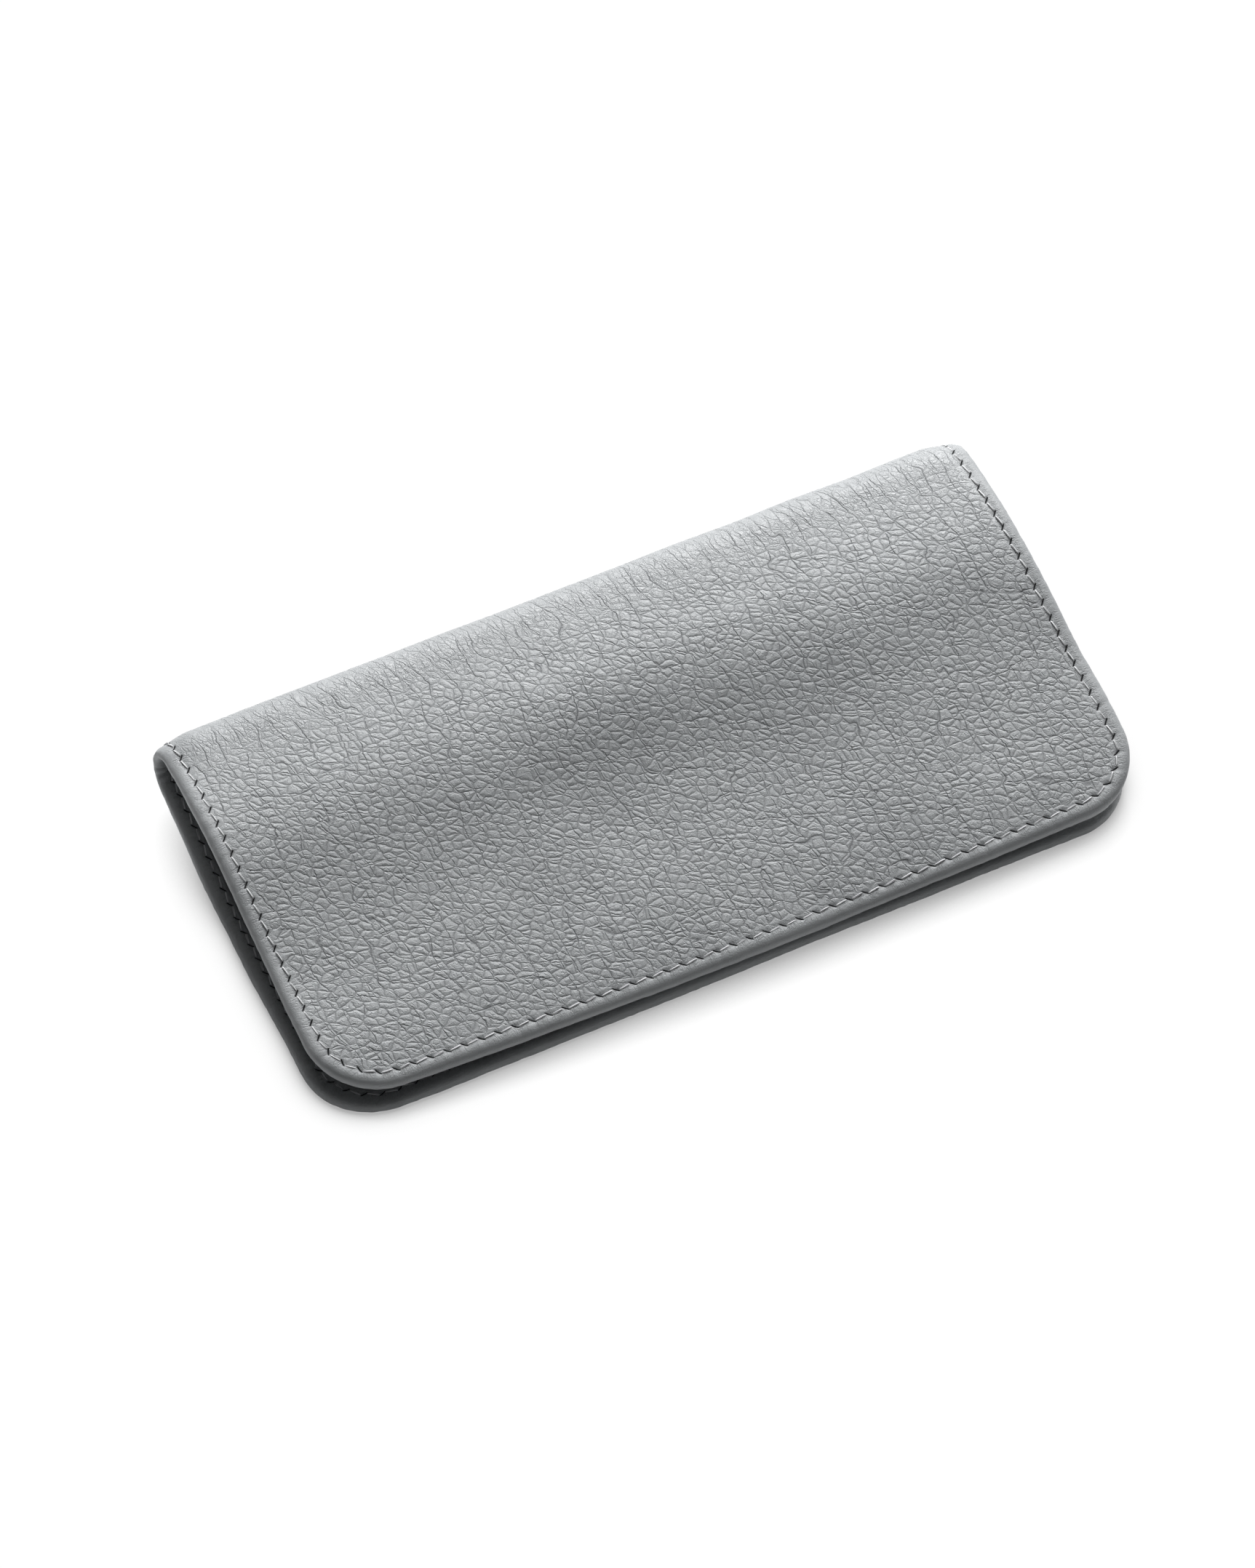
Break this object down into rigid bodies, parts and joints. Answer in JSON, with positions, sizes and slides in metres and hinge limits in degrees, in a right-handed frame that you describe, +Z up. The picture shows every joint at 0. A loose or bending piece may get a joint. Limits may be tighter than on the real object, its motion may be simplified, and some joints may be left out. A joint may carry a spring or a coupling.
{
  "type": "eyeglasses case",
  "caption": "Slim folded eyeglasses case in pebbled leather, open at both ends, with a flap that lifts back on a living-hinge fold.",
  "frame": {"origin": "on the table the case lies on, under the middle of the closed case", "axes": "+Z up from the table, +Y towards the back fold, +X along the fold"},
  "size_m": [0.125, 0.063, 0.0156],
  "materials": {
    "pebbled_leather": "grey pebble-grained leather, soft satin sheen",
    "smooth_lining": "smooth grey lining leather, matt",
    "waxed_thread": "grey waxed sewing thread",
    "fibre_board": "bonded leather fibre board",
    "woven_tape": "woven cotton tape",
    "nickelled_magnet": "nickel-plated disc"
  },
  "bodies": {
    "rear_panel": {"rear_outer_leather": "pebbled_leather", "rear_lining": "smooth_lining", "rear_stiffener": "fibre_board", "rear_magnet_left": "nickelled_magnet", "rear_magnet_right": "nickelled_magnet", "rear_stitching": "waxed_thread"},
    "spine": {"spine_outer_leather": "pebbled_leather", "spine_lining": "smooth_lining", "spine_tape": "woven_tape", "spine_stitching_left": "waxed_thread", "spine_stitching_right": "waxed_thread"},
    "flap": {"flap_outer_leather": "pebbled_leather", "flap_lining": "smooth_lining", "flap_stiffener": "fibre_board", "flap_magnet_left": "nickelled_magnet", "flap_magnet_right": "nickelled_magnet", "flap_stitching": "waxed_thread"}
  },
  "joints": [
    {"name": "fold_lower", "type": "hinge", "parent": "rear_panel", "child": "spine", "pos_m": [0, 0.03067, 0.00734], "axis": [-1, 0, 0], "range_deg": [0, 95]},
    {"name": "fold_upper", "type": "hinge", "parent": "spine", "child": "flap", "pos_m": [0, 0.02981, 0.01431], "axis": [-1, 0, 0], "range_deg": [0, 95]}
  ],
  "couplings": [
    {"joint": "fold_upper", "follows": "fold_lower", "ratio": 1}
  ]
}
